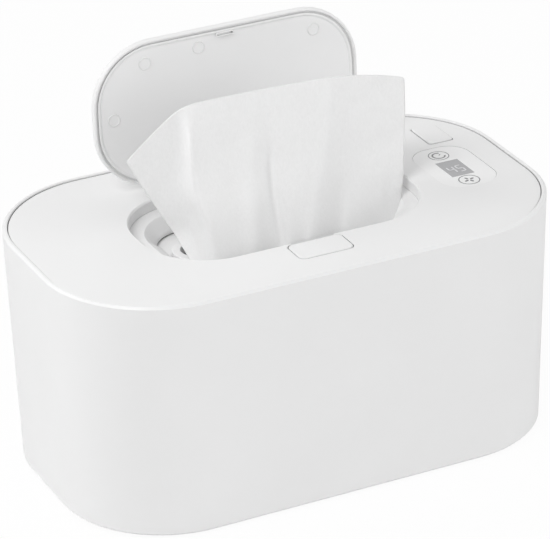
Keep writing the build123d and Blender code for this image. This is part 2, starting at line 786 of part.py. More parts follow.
with BuildPart() as contact_pins:
    with BuildSketch(Plane.XY.offset(cover_base_under)):
        with Locations((contact_x, 0)):
            Rectangle(contact_length, contact_width)
    extrude(amount=base_cover_thickness + contact_carrier_height)
    with BuildSketch(Plane.XY.offset(flange_top + free_gap)):
        with Locations((contact_x, 0)):
            with GridLocations(1, contact_pin_pitch, 1, 4):
                Rectangle(contact_pin_width, contact_pin_width)
    extrude(amount=cover_base_under - flange_top)

# ---------------------------------------------------------------- lid
closed_middle = (lid_free_edge + lid_width / 2) - hinge_y
lid_turn = radians(lid_open_angle)
lid_frame = Plane(
    origin=(well_x, hinge_y, hinge_z), x_dir=(1, 0, 0), z_dir=(0, sin(lid_turn), cos(lid_turn))
)
lid_side = Plane(origin=lid_frame.origin, x_dir=lid_frame.y_dir, z_dir=lid_frame.x_dir)
skin_under = hinge_drop - lid_skin_thickness
inner_top = skin_under - fit_gap
inner_under = inner_top - lid_inner_thickness
band_under = hinge_drop - lid_height
band_depth = lid_height - lid_skin_thickness
inner_inset = lid_band + lid_inner_gap
arm_length = -closed_middle - lid_width / 2 + lid_band / 2

with BuildPart() as lid_skin:
    with BuildSketch(lid_frame.offset(band_under)):
        with Locations((0, closed_middle)):
            RectangleRounded(lid_length, lid_width, lid_radius)
    extrude(amount=lid_height)
    band_axis = Axis(lid_frame.origin, lid_frame.z_dir)
    chamfer(lid_skin.faces().sort_by(band_axis)[-1].edges(), lid_edge_bevel)
    chamfer(lid_skin.faces().sort_by(band_axis)[0].edges(), lid_edge_bevel)
    with BuildSketch(lid_frame.offset(band_under)):
        with Locations((0, closed_middle)):
            RectangleRounded(lid_length - 2 * lid_band, lid_width - 2 * lid_band, lid_radius - lid_band)
    extrude(amount=band_depth, mode=Mode.SUBTRACT)
    for knuckle_x in (-knuckle_spacing / 2, knuckle_spacing / 2):
        with BuildSketch(lid_side.offset(knuckle_x)):
            Circle(knuckle_radius)
            Rectangle(knuckle_radius, hinge_drop, align=(Align.MAX, Align.MIN))
            with Locations((0, hinge_drop)):
                Rectangle(arm_length, lid_height, align=(Align.MAX, Align.MAX))
        extrude(amount=knuckle_width / 2, both=True)
        with BuildSketch(lid_side.offset(knuckle_x)):
            Circle(knuckle_radius + free_gap)
        extrude(amount=knuckle_gap / 2, both=True, mode=Mode.SUBTRACT)
        with BuildSketch(lid_side.offset(knuckle_x)):
            Circle(pin_diameter / 2 + pin_clearance)
        extrude(amount=knuckle_width / 2, both=True, mode=Mode.SUBTRACT)

lid_edge_offset = closed_middle - lid_width / 2
with BuildPart() as lid_inner:
    with BuildSketch(lid_frame.offset(inner_under)):
        with Locations((0, closed_middle)):
            RectangleRounded(lid_length - 2 * inner_inset, lid_width - 2 * inner_inset, lid_radius - inner_inset)
    extrude(amount=lid_inner_thickness)
    border = inner_inset + lid_inner_border
    with BuildSketch(lid_frame.offset(inner_under)):
        with Locations((0, closed_middle)):
            RectangleRounded(lid_length - 2 * inner_inset, lid_width - 2 * inner_inset, lid_radius - inner_inset)
            RectangleRounded(
                lid_length - 2 * border, lid_width - 2 * border, lid_radius - border, mode=Mode.SUBTRACT
            )
    extrude(amount=-lid_inner_border_rise)
    with BuildSketch(lid_frame.offset(inner_under)):
        with Locations(*[(x * lid_length, lid_edge_offset + y * lid_width) for x, y in mark_shares]):
            Circle(mark_diameter / 2)
    extrude(amount=mark_depth, mode=Mode.SUBTRACT)
    with BuildSketch(lid_frame.offset(inner_under)):
        with Locations((0, lid_edge_offset + tongue_inset)):
            Rectangle(tongue_width, tongue_thickness)
    extrude(amount=-tongue_length)
    with BuildSketch(lid_frame.offset(inner_under - tongue_length)):
        with Locations((0, lid_edge_offset + tongue_inset - tongue_thickness / 2)):
            Rectangle(tongue_width, 2 * barb_reach)
    extrude(amount=barb_height)

with BuildPart() as hinge_pins:
    for knuckle_x in knuckle_spots:
        with BuildSketch(Plane.YZ.offset(knuckle_x)):
            with Locations((hinge_y, hinge_z)):
                Circle(pin_diameter / 2)
        extrude(amount=trough_half + pin_wall - free_gap, both=True)

spring_length = knuckle_gap - 2 * free_gap
spring_leg = hinge_drop + trough_clearance - free_gap
with BuildPart() as hinge_springs:
    for knuckle_x in knuckle_spots:
        with BuildSketch(Plane.YZ.offset(knuckle_x)):
            with Locations((hinge_y, hinge_z)):
                Circle(hinge_spring_radius + hinge_spring_wall)
                Circle(hinge_spring_radius, mode=Mode.SUBTRACT)
        extrude(amount=spring_length / 2, both=True)
        # the leg that bears on the trough's back wall
        with BuildSketch(Plane.YZ.offset(knuckle_x)):
            with Locations((hinge_y, hinge_z - hinge_spring_radius)):
                Rectangle(spring_leg, hinge_spring_wall, align=(Align.MIN, Align.MAX))
        extrude(amount=hinge_spring_wall / 2, both=True)

# ---------------------------------------------------------------- keys and sliders
ramp_foot = ramp_top + ramp_height
ramp_high = slider_high + ramp_height
cam_tip = slider_high + key_travel + free_gap


def key_cap(frame, length, width, radius, proud):
    """A hollow key that sinks between its guides, its face `proud` of the cover."""
    with BuildPart() as cap:
        with BuildSketch(frame.offset(cover_top + proud)):
            RectangleRounded(length, width, radius)
        extrude(amount=-key_height - proud)
        chamfer(cap.faces().sort_by(Axis.Z)[-1].edges(), key_bevel)
        with BuildSketch(frame.offset(cover_top - key_top)):
            RectangleRounded(length - 2 * key_top, width - 2 * key_top, max(radius - key_top, 0.2))
        extrude(amount=key_top - key_height, mode=Mode.SUBTRACT)
    return cap.part


def key_cam(frame, slider_back):
    """The key's wedge: its sloping face rides on the slider's ramp and drives it back."""
    slope_at_tip = slider_back + ramp_foot - (cam_tip - slider_high) + free_gap
    cam_high = cover_top - key_top
    slope_top = slider_back + ramp_top / 2 + cam_reach
    side_plane = Plane(origin=frame.origin, x_dir=frame.x_dir, z_dir=-frame.y_dir)
    with BuildPart() as cam:
        with BuildSketch(side_plane):
            with BuildLine():
                Polyline(
                    (slope_top, cam_high),
                    (slope_top, cam_tip + slope_at_tip - slope_top),
                    (slope_at_tip, cam_tip),
                    (slope_at_tip + cam_reach, cam_tip),
                    (slope_at_tip + cam_reach, cam_high),
                    close=True,
                )
            make_face()
        extrude(amount=cam_width / 2, both=True)
    return cam.part


def slider_body(frame, width, back, front):
    """A slider's plate with the 45 degree ramp at its back, drawn from the side."""
    side_plane = Plane(origin=frame.origin, x_dir=frame.x_dir, z_dir=-frame.y_dir)
    with BuildPart() as slider:
        with BuildSketch(frame.offset(slider_low)):
            with Locations(((back + front) / 2, 0)):
                Rectangle(front - back, width)
        extrude(amount=slider_plate)
        with BuildSketch(side_plane):
            with BuildLine():
                Polyline(
                    (back, slider_low),
                    (back + ramp_foot, slider_low),
                    (back + ramp_foot, slider_high),
                    (back + ramp_top, ramp_high),
                    (back, ramp_high),
                    close=True,
                )
            make_face()
        extrude(amount=width / 2 - rail_lip, both=True)
    return slider.part


with BuildPart() as lid_button:
    lid_key_frame = Plane(origin=(well_x, lid_key_y, 0))
    add(key_cap(lid_key_frame, lid_key_length, lid_key_width, lid_key_radius, 0))
    # notch in the key's rear wall, over the latch's arm
    with BuildSketch(lid_key_frame.offset(cover_top - key_height)):
        with Locations((0, lid_key_width / 2)):
            Rectangle(lid_nose_width + 4 * free_gap, 3 * key_top)
    extrude(amount=key_height - key_top, mode=Mode.SUBTRACT)
    add(key_cam(lid_latch_frame, lid_slider_rear))

lid_arm_front = well_front - well_wall - 2 * free_gap
lid_arm_back = lid_arm_front - slider_plate
with BuildPart() as lid_latch:
    add(slider_body(lid_latch_frame, lid_slider_width, lid_slider_rear, lid_arm_front))
    with BuildSketch(lid_latch_frame.offset(slider_high)):
        with Locations(((lid_arm_back + lid_arm_front) / 2, 0)):
            Rectangle(slider_plate, lid_nose_width)
    extrude(amount=nose_top - slider_high)
    with BuildSketch(lid_latch_frame.offset(nose_under)):
        with Locations(((lid_arm_back + nose_tip) / 2, 0)):
            Rectangle(nose_tip - lid_arm_back, lid_nose_width)
    extrude(amount=lid_nose_thickness)
    nose_edge = lid_latch.edges().filter_by(Axis.X).sort_by(Axis.Y)[-2:].sort_by(Axis.Z)[-1]
    chamfer(nose_edge, lid_nose_thickness / 2)

with BuildPart() as cover_button:
    cover_key_frame = Plane(origin=(cover_key_x, cover_key_y, 0))
    add(key_cap(cover_key_frame, cover_key_length, cover_key_width, cover_key_radius, cover_key_proud))
    add(key_cam(catch_frame, cover_slider_rear))

cover_nose_tip = catch_wall - seam_gap - nose_gap
with BuildPart() as cover_catch:
    add(slider_body(catch_frame, cover_slider_width, cover_slider_rear, key_radius_out + ramp_foot))
    with BuildSketch(catch_frame.offset(slider_low)):
        with Locations((key_radius_out, 0)):
            Rectangle(
                cover_nose_tip - key_radius_out, cover_nose_width, align=(Align.MIN, Align.CENTER)
            )
    extrude(amount=slider_plate)

spring_span = slider_stop - 2 * fit_gap
with BuildPart() as lid_latch_spring:
    spring_start = lid_slider_rear - slider_stop + fit_gap
    add(folded_spring(lid_latch_frame, spring_start, spring_span, slider_low))

with BuildPart() as cover_catch_spring:
    spring_start = cover_slider_rear - slider_stop + fit_gap
    add(folded_spring(catch_frame, spring_start, spring_span, slider_low))

# ---------------------------------------------------------------- the wipe in the slot
wipe_low = stack_top + soft_gap
wipe_bend_low = bowl_floor + gate_rise + wipe_thickness
with BuildPart() as wipe_sheet:
    # seen from the side: up through the slot, forwards over the bowl and back up
    with BuildSketch(Plane.YZ):
        with BuildLine():
            FilletPolyline(
                (well_y, wipe_low),
                (well_y, wipe_bend_low),
                (well_y - wipe_bulge, wipe_bend_low + wipe_bulge / 2),
                (well_y - wipe_lean, wipe_bend_low + 1.5 * wipe_bulge),
                (well_y, wipe_top),
                radius=wipe_bend,
            )
            offset(amount=wipe_thickness / 2, side=Side.BOTH, kind=Kind.INTERSECTION)
        make_face()
    extrude(amount=body_length / 2, both=True)
    with BuildSketch(Plane.XZ):
        with BuildLine():
            Polyline(
                (-wipe_slot_length / 2, wipe_low),
                (wipe_slot_length / 2, wipe_low),
                (wipe_slot_length / 2, wipe_bend_low - wipe_thickness),
                wipe_right_foot,
                wipe_right_side,
                wipe_right_corner,
                wipe_right_shoulder,
                wipe_left_shoulder,
                wipe_left_corner,
                (-wipe_slot_length / 2, wipe_bend_low - wipe_thickness),
                close=True,
            )
        make_face()
    extrude(amount=body_width / 2, both=True, mode=Mode.INTERSECT)

# ---------------------------------------------------------------- the pieces, one file each
outer_shell.part.label = "outer_shell"
export_step(outer_shell.part, "parts/outer_shell.step")
base_plate.part.label = "base_plate"
export_step(base_plate.part, "parts/base_plate.step")
rubber_feet.part.label = "rubber_feet"
export_step(rubber_feet.part, "parts/rubber_feet.step")
base_screws.part.label = "base_screws"
export_step(base_screws.part, "parts/base_screws.step")
inner_liner.part.label = "inner_liner"
export_step(inner_liner.part, "parts/inner_liner.step")
heating_film.part.label = "heating_film"
export_step(heating_film.part, "parts/heating_film.step")
insulation_sleeve.part.label = "insulation_sleeve"
export_step(insulation_sleeve.part, "parts/insulation_sleeve.step")
temperature_sensor.part.label = "temperature_sensor"
export_step(temperature_sensor.part, "parts/temperature_sensor.step")
thermal_cutout.part.label = "thermal_cutout"
export_step(thermal_cutout.part, "parts/thermal_cutout.step")
main_board.part.label = "main_board"
export_step(main_board.part, "parts/main_board.step")
power_inlet.part.label = "power_inlet"
export_step(power_inlet.part, "parts/power_inlet.step")
contact_block.part.label = "contact_block"
export_step(contact_block.part, "parts/contact_block.step")
wipe_stack.part.label = "wipe_stack"
export_step(wipe_stack.part, "parts/wipe_stack.step")
top_cover.part.label = "top_cover"
export_step(top_cover.part, "parts/top_cover.step")
cover_base.part.label = "cover_base"
export_step(cover_base.part, "parts/cover_base.step")
cover_screws.part.label = "cover_screws"
export_step(cover_screws.part, "parts/cover_screws.step")
cover_seal.part.label = "cover_seal"
export_step(cover_seal.part, "parts/cover_seal.step")
slot_gate.part.label = "slot_gate"
export_step(slot_gate.part, "parts/slot_gate.step")
control_panel.part.label = "control_panel"
export_step(control_panel.part, "parts/control_panel.step")
display_board.part.label = "display_board"
export_step(display_board.part, "parts/display_board.step")
display_module.part.label = "display_module"
export_step(display_module.part, "parts/display_module.step")
touch_pads.part.label = "touch_pads"
export_step(touch_pads.part, "parts/touch_pads.step")
contact_pins.part.label = "contact_pins"
export_step(contact_pins.part, "parts/contact_pins.step")
lid_skin.part.label = "lid_skin"
export_step(lid_skin.part, "parts/lid_skin.step")
lid_inner.part.label = "lid_inner"
export_step(lid_inner.part, "parts/lid_inner.step")
hinge_pins.part.label = "hinge_pins"
export_step(hinge_pins.part, "parts/hinge_pins.step")
hinge_springs.part.label = "hinge_springs"
export_step(hinge_springs.part, "parts/hinge_springs.step")
lid_button.part.label = "lid_button"
export_step(lid_button.part, "parts/lid_button.step")
lid_latch.part.label = "lid_latch"
export_step(lid_latch.part, "parts/lid_latch.step")
lid_latch_spring.part.label = "lid_latch_spring"
export_step(lid_latch_spring.part, "parts/lid_latch_spring.step")
cover_button.part.label = "cover_button"
export_step(cover_button.part, "parts/cover_button.step")
cover_catch.part.label = "cover_catch"
export_step(cover_catch.part, "parts/cover_catch.step")
cover_catch_spring.part.label = "cover_catch_spring"
export_step(cover_catch_spring.part, "parts/cover_catch_spring.step")
wipe_sheet.part.label = "wipe_sheet"
export_step(wipe_sheet.part, "parts/wipe_sheet.step")
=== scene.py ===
from math import cos, radians, sin, tan

import bmesh
import bpy
from mathutils import Matrix, Vector


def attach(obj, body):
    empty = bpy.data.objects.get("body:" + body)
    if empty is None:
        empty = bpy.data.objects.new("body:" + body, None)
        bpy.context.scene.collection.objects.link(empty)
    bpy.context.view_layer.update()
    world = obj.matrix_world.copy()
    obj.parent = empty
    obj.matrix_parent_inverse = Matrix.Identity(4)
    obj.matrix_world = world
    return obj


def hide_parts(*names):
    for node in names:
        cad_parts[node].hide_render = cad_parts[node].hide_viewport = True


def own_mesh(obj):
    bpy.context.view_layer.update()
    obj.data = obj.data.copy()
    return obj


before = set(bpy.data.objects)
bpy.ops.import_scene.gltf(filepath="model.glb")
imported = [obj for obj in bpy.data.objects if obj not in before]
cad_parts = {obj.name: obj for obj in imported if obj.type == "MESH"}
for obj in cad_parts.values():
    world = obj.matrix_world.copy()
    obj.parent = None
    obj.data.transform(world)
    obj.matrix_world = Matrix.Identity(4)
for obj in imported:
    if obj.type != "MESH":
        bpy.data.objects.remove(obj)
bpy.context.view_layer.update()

mm = 0.001


# ---------------------------------------------------------------- material tools
# How near another surface a seam gets painted shade, and by which share at its deepest. Then how
# wide a patch of one tone is in plastic and in rubber. Lengths are in millimetres unless stated.
seam_reach = 0.9
seam_shade = 0.6
plastic_patch = 40
rubber_patch = 12


def linear(hex_colour):
    """An sRGB hex colour as the linear colour that the shaders take."""
    channels = [int(hex_colour[i:i + 2], 16) / 255 for i in (1, 3, 5)]
    low = [c / 12.92 for c in channels]
    high = [((c + 0.055) / 1.055) ** 2.4 for c in channels]
    return [h if c > 0.04045 else l for c, l, h in zip(channels, low, high)] + [1.0]


def add_node(owner, kind, settings=None, links=None):
    """A node in a material, a world or a node tree, with its settings and its linked sockets."""
    tree = getattr(owner, "node_tree", owner)
    node = tree.nodes.new(kind)
    for name, value in (settings or {}).items():
        if isinstance(name, str) and hasattr(node, name):
            setattr(node, name, value)
        else:
            node.inputs[name].default_value = value
    for name, output in (links or {}).items():
        tree.links.new(output, node.inputs[name])
    return node


def new_material(name):
    """An empty node material."""
    material = bpy.data.materials.new(name)
    material.use_nodes = True
    material.node_tree.nodes.clear()
    return material


def surface(material, shader):
    """The shader becomes the material's surface."""
    add_node(material, "ShaderNodeOutputMaterial", {}, {"Surface": shader.outputs[0]})
    return material


def grain_bump(material, grain, depth):
    """A fine bump, `grain` wide and `depth` deep, both in millimetres."""
    place = add_node(material, "ShaderNodeTexCoord")
    noise = add_node(material, "ShaderNodeTexNoise", {
        "Scale": 1 / (grain * mm), "Detail": 2.0, "Roughness": 0.5}, {
        "Vector": place.outputs["Object"]})
    return add_node(material, "ShaderNodeBump", {
        "Strength": 1.0, "Distance": depth * mm}, {"Height": noise.outputs["Fac"]})


def tone_drift(material, low, high, patch):
    """A colour that drifts between two close tones over patches of `patch` millimetres."""
    place = add_node(material, "ShaderNodeTexCoord")
    noise = add_node(material, "ShaderNodeTexNoise", {
        "Scale": 1 / (patch * mm), "Detail": 3.0}, {"Vector": place.outputs["Object"]})
    return add_node(material, "ShaderNodeMix", {
        "data_type": "RGBA", 6: linear(low), 7: linear(high)}, {"Factor": noise.outputs["Fac"]})


def moulded(name, low, high, roughness, grain=0.45, depth=0.006):
    """Injection-moulded plastic: nearly even colour, satin gloss, fine spark grain, painted seam
    shade.
    """
    material = new_material(name)
    bump = grain_bump(material, grain, depth)
    colour = tone_drift(material, low, high, plastic_patch)
    # Painted shade: an occlusion mask pulls the colour towards grey in seams and crevices.
    crevice = add_node(material, "ShaderNodeAmbientOcclusion", {
        "samples": 8, "Distance": seam_reach * mm})
    shade = add_node(material, "ShaderNodeMapRange", {
        "From Min": 0.25, "From Max": 0.75, "To Min": seam_shade, "To Max": 0.0}, {
        0: crevice.outputs["AO"]})
    shaded = add_node(material, "ShaderNodeMix", {"data_type": "RGBA", 7: linear("#7E7E7E")}, {
        "Factor": shade.outputs[0], 6: colour.outputs[2]})
    shader = add_node(material, "ShaderNodeBsdfPrincipled", {
        "Roughness": roughness, "IOR": 1.53}, {
        "Base Color": shaded.outputs[2], "Normal": bump.outputs["Normal"]})
    return surface(material, shader)


def bright_metal(name, tone, roughness):
    """Plated or bright screws, pins and wire: metallic, with a faintly uneven shine."""
    material = new_material(name)
    place = add_node(material, "ShaderNodeTexCoord")
    noise = add_node(material, "ShaderNodeTexNoise", {
        "Scale": 1 / (0.8 * mm), "Detail": 2.0}, {"Vector": place.outputs["Object"]})
    shine = add_node(material, "ShaderNodeMapRange", {
        "To Min": roughness - 0.06, "To Max": roughness + 0.08}, {"Value": noise.outputs["Fac"]})
    shader = add_node(material, "ShaderNodeBsdfPrincipled", {
        "Base Color": linear(tone), "Metallic": 1.0}, {"Roughness": shine.outputs[0]})
    return surface(material, shader)


def soft_rubber(name, low, high, roughness):
    """Moulded rubber or silicone: matt, slightly uneven, with a low sheen."""
    material = new_material(name)
    bump = grain_bump(material, 0.7, 0.012)
    colour = tone_drift(material, low, high, rubber_patch)
    shader = add_node(material, "ShaderNodeBsdfPrincipled", {
        "Roughness": roughness, "IOR": 1.42, "Sheen Weight": 0.15}, {
        "Base Color": colour.outputs[2], "Normal": bump.outputs["Normal"]})
    return surface(material, shader)


# Painted shade on the wipe is deepest at the first level and gone from the second one up.
shade_deepest_level = 102
shade_end_level = 132


def nonwoven_cloth():
    """Spunlace wipe: matt white fibres tangled at random, a soft sheen, painted shade towards its
    foot.
    """
    material = new_material("spunlace_nonwoven")
    place = add_node(material, "ShaderNodeTexCoord")
    stretched = add_node(material, "ShaderNodeMapping", {"Scale": (1.0, 1.0, 0.45)}, {
        "Vector": place.outputs["Object"]})
    fibres = add_node(material, "ShaderNodeTexNoise", {
        "Scale": 1 / (0.9 * mm), "Detail": 4.0, "Roughness": 0.65, "Distortion": 0.6}, {
        "Vector": stretched.outputs[0]})
    clumps = add_node(material, "ShaderNodeTexNoise", {
        "Scale": 1 / (5.0 * mm), "Detail": 3.0, "Roughness": 0.6}, {
        "Vector": place.outputs["Object"]})
    height = add_node(material, "ShaderNodeMath", {"operation": "MULTIPLY_ADD", 1: 1.6}, {
        0: clumps.outputs["Fac"], 2: fibres.outputs["Fac"]})
    bump = add_node(material, "ShaderNodeBump", {
        "Strength": 0.8, "Distance": 0.11 * mm}, {"Height": height.outputs[0]})
    colour = add_node(material, "ShaderNodeMix", {
        "data_type": "RGBA", 6: linear("#EDEDED"), 7: linear("#FAFAFA")}, {
        "Factor": fibres.outputs["Fac"]})
    level = add_node(material, "ShaderNodeSeparateXYZ", {}, {0: place.outputs["Object"]})
    # Painted shade: the cloth's colour darkens towards grey low down, near the bowl.
    foot_shade = add_node(material, "ShaderNodeMapRange", {
        "From Min": shade_deepest_level * mm, "From Max": shade_end_level * mm, "To Min": 0.3, "To Max": 0.0,
        "interpolation_type": "SMOOTHSTEP"}, {0: level.outputs["Z"]})
    foot_shaded = add_node(material, "ShaderNodeMix", {"data_type": "RGBA", 7: linear("#C4C4C4")}, {
        "Factor": foot_shade.outputs[0], 6: colour.outputs[2]})
    shader = add_node(material, "ShaderNodeBsdfPrincipled", {
        "Roughness": 0.9, "IOR": 1.4, "Sheen Weight": 0.3, "Sheen Roughness": 0.5}, {
        "Base Color": foot_shaded.outputs[2], "Normal": bump.outputs["Normal"]})
    return surface(material, shader)


def circuit_board():
    """Glass-fibre board under green lacquer: the copper tracks show as a lighter green weave."""
    material = new_material("lacquered_circuit_board")
    place = add_node(material, "ShaderNodeTexCoord")
    in_millimetres = add_node(material, "ShaderNodeMapping", {"Scale": (1 / mm, 1 / mm, 1 / mm)}, {
        "Vector": place.outputs["Object"]})
    tracks = add_node(material, "ShaderNodeTexBrick", {
        "Color1": linear("#1F5B38"), "Color2": linear("#1A4F31"), "Mortar": linear("#2E7A4C"),
        "Scale": 1.0, "Mortar Size": 0.12, "Brick Width": 6.0, "Row Height": 1.5}, {
        "Vector": in_millimetres.outputs[0]})
    shader = add_node(material, "ShaderNodeBsdfPrincipled", {"Roughness": 0.32, "IOR": 1.5}, {
        "Base Color": tracks.outputs["Color"]})
    return surface(material, shader)


foil_pitch = 8


def polyimide_film():
    """Amber polyimide: a glossy orange film in which the heater's foil shows as level bands."""
    material = new_material("amber_polyimide_film")
    place = add_node(material, "ShaderNodeTexCoord")
    foil = add_node(material, "ShaderNodeTexWave", {
        "bands_direction": "Z", "wave_profile": "SIN", "Scale": 1 / (foil_pitch * mm) / 3.0}, {
        "Vector": place.outputs["Object"]})
    colour = add_node(material, "ShaderNodeMix", {
        "data_type": "RGBA", 6: linear("#B0661E"), 7: linear("#D08A35")}, {
        "Factor": foil.outputs["Fac"]})
    shader = add_node(material, "ShaderNodeBsdfPrincipled", {"Roughness": 0.3, "IOR": 1.6}, {
        "Base Color": colour.outputs[2]})
    return surface(material, shader)


def closed_cell_foam(name, low, high):
    """Closed-cell foam: tiny round cells, fully matt."""
    material = new_material(name)
    place = add_node(material, "ShaderNodeTexCoord")
    cells = add_node(material, "ShaderNodeTexVoronoi", {"Scale": 1 / (1.2 * mm)}, {
        "Vector": place.outputs["Object"]})
    bump = add_node(material, "ShaderNodeBump", {"Strength": 0.7, "Distance": 0.1 * mm}, {
        "Height": cells.outputs["Distance"]})
    colour = add_node(material, "ShaderNodeMix", {
        "data_type": "RGBA", 6: linear(low), 7: linear(high)}, {
        "Factor": cells.outputs["Distance"]})
    shader = add_node(material, "ShaderNodeBsdfPrincipled", {"Roughness": 0.92}, {
        "Base Color": colour.outputs[2], "Normal": bump.outputs["Normal"]})
    return surface(material, shader)


# ---------------------------------------------------------------- camera, light, floor
# The lens and the sensor are in millimetres. The lamps and the floor's reach are in metres.
camera_focus = Vector((17.14, 39.27, 61.2)) * mm
camera_distance = 1657.68 * mm
camera_yaw = radians(-25.29)
camera_pitch = radians(26.13)
camera_roll = radians(-1.69)
camera_lens = 234.36
camera_sensor = 36


def add_camera():
    """The camera looks down at the front from the left, through a long lens."""
    back = Vector((
        sin(camera_yaw) * cos(camera_pitch),
        -cos(camera_yaw) * cos(camera_pitch),
        sin(camera_pitch)))
    level = Vector((cos(camera_yaw), sin(camera_yaw), 0))
    upward = back.cross(level)
    right = level * cos(camera_roll) + upward * sin(camera_roll)
    up = upward * cos(camera_roll) - level * sin(camera_roll)
    data = bpy.data.cameras.new("camera")
    data.lens = camera_lens
    data.sensor_width = camera_sensor
    data.clip_end = 50
    camera = bpy.data.objects.new("camera", data)
    turn = Matrix((right, up, back)).transposed().to_4x4()
    camera.matrix_world = Matrix.Translation(camera_focus + back * camera_distance) @ turn
    bpy.context.scene.collection.objects.link(camera)
    bpy.context.scene.camera = camera


light_target = Vector((0, 0, 0.06))
# Each lamp's name, place, size and watts.
lamps = [
    ("soft_key", (-0.9, -0.5, 1.2), 0.8, 8.6), ("left_rim", (-0.9, 0.7, 1.0), 0.8, 4.6),
    ("right_fill", (1.0, -1.1, 0.7), 1.0, 2.9), ("low_fill", (1.2, -0.8, 0.25), 0.6, 3.4),
    ("back_fill", (0.6, 0.6, 1.4), 0.8, 1.2),
]
ambient_strength = 0.44


def add_light(name, place, size, watts):
    """A round soft lamp that shines at the middle of the housing."""
    data = bpy.data.lights.new(name, "AREA")
    data.shape = "DISK"
    data.size = size
    data.energy = watts
    light = bpy.data.objects.new(name, data)
    light.location = place
    light.rotation_euler = (Vector(place) - light_target).to_track_quat("Z", "Y").to_euler()
    bpy.context.scene.collection.objects.link(light)


def add_world():
    """Even white ambient light, and plain white wherever the sky is seen or mirrored."""
    world = bpy.data.worlds.new("studio")
    bpy.context.scene.world = world
    world.use_nodes = True
    world.node_tree.nodes.clear()
    light_path = add_node(world, "ShaderNodeLightPath")
    seen = add_node(world, "ShaderNodeMath", {"operation": "MAXIMUM"}, {
        0: light_path.outputs["Is Camera Ray"], 1: light_path.outputs["Is Glossy Ray"]})
    ambient = add_node(world, "ShaderNodeBackground", {
        "Color": (1, 1, 1, 1), "Strength": ambient_strength})
    white = add_node(world, "ShaderNodeBackground", {"Color": (1, 1, 1, 1), "Strength": 1.0})
    mixed = add_node(world, "ShaderNodeMixShader", {}, {
        "Fac": seen.outputs[0], 1: ambient.outputs[0], 2: white.outputs[0]})
    add_node(world, "ShaderNodeOutputWorld", {}, {"Surface": mixed.outputs[0]})


floor_reach = 6
floor_level = -0.2
floor_glow = 0.95


def add_floor():
    """White paper that shows as plain white, with only a faint shadow, just clear of the feet."""
    mesh = bpy.data.meshes.new("floor")
    corners = [(-1, -1), (1, -1), (1, 1), (-1, 1)]
    mesh.from_pydata([(x * floor_reach, y * floor_reach, floor_level * mm) for x, y in corners],
                     [], [(0, 1, 2, 3)])
    floor = bpy.data.objects.new("floor", mesh)
    bpy.context.scene.collection.objects.link(floor)
    material = new_material("white_paper")
    light_path = add_node(material, "ShaderNodeLightPath")
    paper = add_node(material, "ShaderNodeBsdfDiffuse", {"Color": linear("#F4F4F4")})
    white = add_node(material, "ShaderNodeEmission", {"Color": (1, 1, 1, 1), "Strength": 1.0})
    share = add_node(material, "ShaderNodeMath", {"operation": "MULTIPLY", 1: floor_glow}, {
        0: light_path.outputs["Is Camera Ray"]})
    mixed = add_node(material, "ShaderNodeMixShader", {}, {
        "Fac": share.outputs[0], 1: paper.outputs[0], 2: white.outputs[0]})
    surface(material, mixed)
    mesh.materials.append(material)


# ---------------------------------------------------------------- shape tools
# Points nearer than this become one, faces within the flat angle of each other become one, and
# edges sharper than the sharp angle are rounded.
same_point = 0.001
flat_angle = radians(0.6)
sharp_angle = radians(32)


def bake(thing):
    """Applies the object's modifiers to its mesh and leaves none."""
    bpy.context.view_layer.update()
    evaluated = thing.evaluated_get(bpy.context.evaluated_depsgraph_get())
    mesh = bpy.data.meshes.new_from_object(evaluated)
    thing.modifiers.clear()
    thing.data = mesh


def placed(name, mesh):
    """A mesh as an object in the scene."""
    thing = bpy.data.objects.new(name, mesh)
    bpy.context.scene.collection.objects.link(thing)
    return thing


def new_piece(name, mesh, body, material):
    """A finished mesh as a piece that rides on a body."""
    piece = placed(name, mesh)
    mesh.materials.clear()
    mesh.materials.append(material)
    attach(piece, body)
    return piece


def rounded_loop(length, width, radius, steps=10):
    """Points round a rectangle with rounded corners, anticlockwise."""
    points = []
    for quarter in range(4):
        across = 1 if quarter in (0, 3) else -1
        along = 1 if quarter in (0, 1) else -1
        middle = Vector((across * (length / 2 - radius), along * (width / 2 - radius)))
        for step in range(steps + 1):
            turn = radians(90 * (quarter + step / steps))
            points.append(middle + radius * Vector((cos(turn), sin(turn))))
    return points


def filleted(corners, steps=4):
    """A section's points, each inner corner (inset, level, radius) rounded by its own radius."""
    points = [Vector(corners[0][:2])]
    for before, (inset, level, radius), after in zip(corners, corners[1:], corners[2:]):
        corner = Vector((inset, level))
        back = (Vector(before[:2]) - corner).normalized()
        ahead = (Vector(after[:2]) - corner).normalized()
        half = back.angle(ahead) / 2
        middle = corner + (back + ahead).normalized() * radius / sin(half)
        first = (corner + back * radius / tan(half) - middle).normalized()
        last = (corner + ahead * radius / tan(half) - middle).normalized()
        points += [middle + radius * first.slerp(last, step / steps) for step in range(steps + 1)]
    return points + [Vector(corners[-1][:2])]


def moulding(name, place, size, section, ring=False):
    """A closed mesh: the section runs round a rounded rectangle, as insets from it and levels.

    Its first and last points are capped with flat faces, or joined to each other in a ring."""
    length, width, radius = size
    loops = []
    for inset, level in section:
        outline = rounded_loop(length - 2 * inset, width - 2 * inset, radius - inset)
        loops.append([place @ Vector((point.x, point.y, level)) * mm for point in outline])
    count = len(loops[0])
    pairs = list(zip(range(len(loops) - 1), range(1, len(loops))))
    last = len(loops) - 1
    faces = [] if ring else [list(range(count)), [last * count + i for i in range(count)]]
    if ring:
        pairs.append((last, 0))
    for low, high in pairs:
        for i in range(count):
            ahead = (i + 1) % count
            faces.append((
                low * count + i, low * count + ahead, high * count + ahead, high * count + i))
    mesh = bpy.data.meshes.new(name)
    mesh.from_pydata([point for loop in loops for point in loop], [], faces)
    return outwards(mesh)


